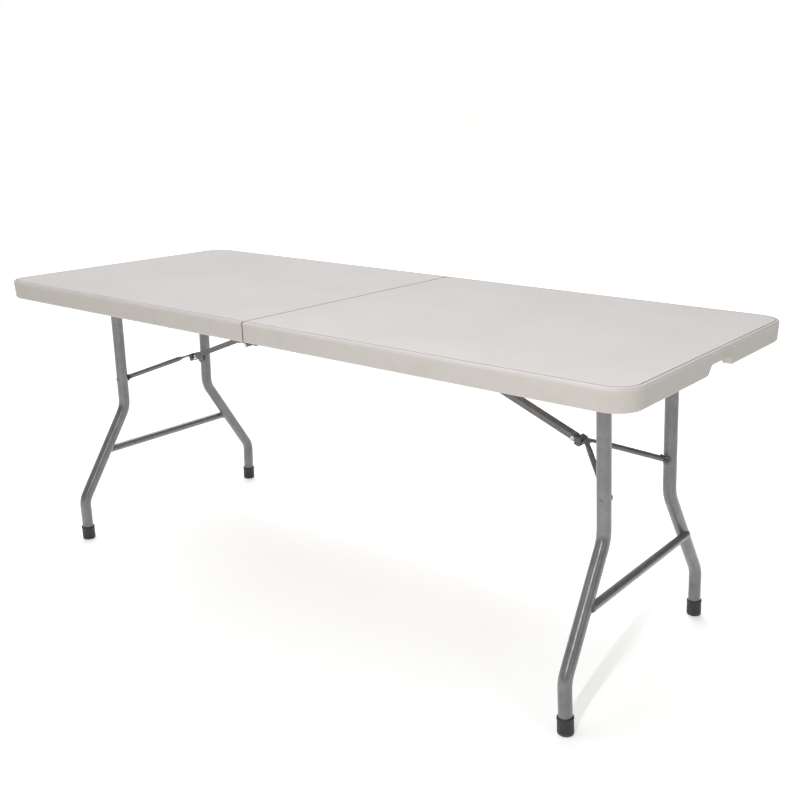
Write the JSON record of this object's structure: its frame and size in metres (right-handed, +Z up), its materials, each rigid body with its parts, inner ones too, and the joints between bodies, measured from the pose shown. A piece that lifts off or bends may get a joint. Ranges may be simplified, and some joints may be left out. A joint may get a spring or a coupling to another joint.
{
  "type": "folding table",
  "caption": "Fold-in-half table with a moulded plastic top, bent steel tube leg frames that fold flat, and locking braces.",
  "frame": {"origin": "on the floor, under the middle of the table", "axes": "+X along the length, +Y to the back, +Z up"},
  "size_m": [1.83, 0.74, 0.74],
  "materials": {
    "top_plastic": "light warm grey blow-moulded polyethylene with a fine grain",
    "rail_steel": "grey powder coat",
    "leg_paint": "grey hammertone powder coat",
    "brace_steel": "darker grey powder coat",
    "ring_steel": "dark grey powder coat, worn at the edges",
    "zinc_rivet": "bright zinc",
    "dark_rivet": "blackened",
    "black_screw": "black oxide",
    "cap_plastic": "black moulded cap"
  },
  "bodies": {
    "left_half": {"left_top_panel": "top_plastic", "left_back_rail": "rail_steel", "left_front_rail": "rail_steel", "left_pivot_brackets": "rail_steel", "left_brace_bracket": "rail_steel", "left_brace_bracket_pin": "zinc_rivet", "left_panel_screws": "zinc_rivet", "left_hinge_leaves": "rail_steel", "left_hinge_screws": "black_screw", "hinge_pins": "zinc_rivet"},
    "left_legs": {"left_pivot_tube": "leg_paint", "left_back_leg": "leg_paint", "left_front_leg": "leg_paint", "left_crossbar": "leg_paint", "left_back_foot": "cap_plastic", "left_front_foot": "cap_plastic", "left_leg_rivets": "leg_paint"},
    "left_link": {"left_brace_link": "brace_steel", "left_elbow_rivet": "zinc_rivet"},
    "left_yoke": {"left_yoke_stem": "brace_steel", "left_yoke_back_arm": "brace_steel", "left_yoke_front_arm": "brace_steel", "left_yoke_rivet_heads": "dark_rivet"},
    "left_ring": {"left_lock_ring": "ring_steel"},
    "right_half": {"right_top_panel": "top_plastic", "right_back_rail": "rail_steel", "right_front_rail": "rail_steel", "right_pivot_brackets": "rail_steel", "right_brace_bracket": "rail_steel", "right_brace_bracket_pin": "zinc_rivet", "right_panel_screws": "zinc_rivet", "right_hinge_leaves": "rail_steel", "right_hinge_screws": "black_screw"},
    "right_legs": {"right_pivot_tube": "leg_paint", "right_back_leg": "leg_paint", "right_front_leg": "leg_paint", "right_crossbar": "leg_paint", "right_back_foot": "cap_plastic", "right_front_foot": "cap_plastic", "right_leg_rivets": "leg_paint"},
    "right_link": {"right_brace_link": "brace_steel", "right_elbow_rivet": "zinc_rivet"},
    "right_yoke": {"right_yoke_stem": "brace_steel", "right_yoke_back_arm": "brace_steel", "right_yoke_front_arm": "brace_steel", "right_yoke_rivet_heads": "dark_rivet"},
    "right_ring": {"right_lock_ring": "ring_steel"}
  },
  "joints": [
    {"name": "table_fold", "type": "hinge", "parent": "left_half", "child": "right_half", "pos_m": [0, 0, 0.69], "axis": [0, 1, 0], "range_deg": [0, 90]},
    {"name": "left_leg_fold", "type": "hinge", "parent": "left_half", "child": "left_legs", "pos_m": [-0.7526, 0, 0.713], "axis": [0, -1, 0], "range_deg": [0, 94.36]},
    {"name": "left_link_swing", "type": "hinge", "parent": "left_half", "child": "left_link", "pos_m": [-0.056, 0, 0.722], "axis": [0, 1, 0], "range_deg": [0, 19.73]},
    {"name": "left_yoke_swing", "type": "hinge", "parent": "left_link", "child": "left_yoke", "pos_m": [-0.61576, 0, 0.50809], "axis": [0, -1, 0], "range_deg": [0, 180.01]},
    {"name": "left_ring_slide", "type": "slide", "parent": "left_link", "child": "left_ring", "axis": [0.9341, 0, 0.357], "range_m": [0, 0.1201]},
    {"name": "right_leg_fold", "type": "hinge", "parent": "right_half", "child": "right_legs", "pos_m": [0.7526, 0, 0.713], "axis": [0, 1, 0], "range_deg": [0, 94.36]},
    {"name": "right_link_swing", "type": "hinge", "parent": "right_half", "child": "right_link", "pos_m": [0.056, 0, 0.722], "axis": [0, -1, 0], "range_deg": [0, 19.73]},
    {"name": "right_yoke_swing", "type": "hinge", "parent": "right_link", "child": "right_yoke", "pos_m": [0.61576, 0, 0.50809], "axis": [0, 1, 0], "range_deg": [0, 180.01]},
    {"name": "right_ring_slide", "type": "slide", "parent": "right_link", "child": "right_ring", "axis": [-0.9341, 0, 0.357], "range_m": [0, 0.1201]}
  ],
  "couplings": [
    {"joint": "left_link_swing", "follows": "left_leg_fold", "ratio": 0.20896},
    {"joint": "left_yoke_swing", "follows": "left_leg_fold", "ratio": 1.9076},
    {"joint": "left_ring_slide", "follows": "left_leg_fold", "m_per_rad": 0.072864},
    {"joint": "right_link_swing", "follows": "right_leg_fold", "ratio": 0.20896},
    {"joint": "right_yoke_swing", "follows": "right_leg_fold", "ratio": 1.9076},
    {"joint": "right_ring_slide", "follows": "right_leg_fold", "m_per_rad": 0.072864}
  ]
}
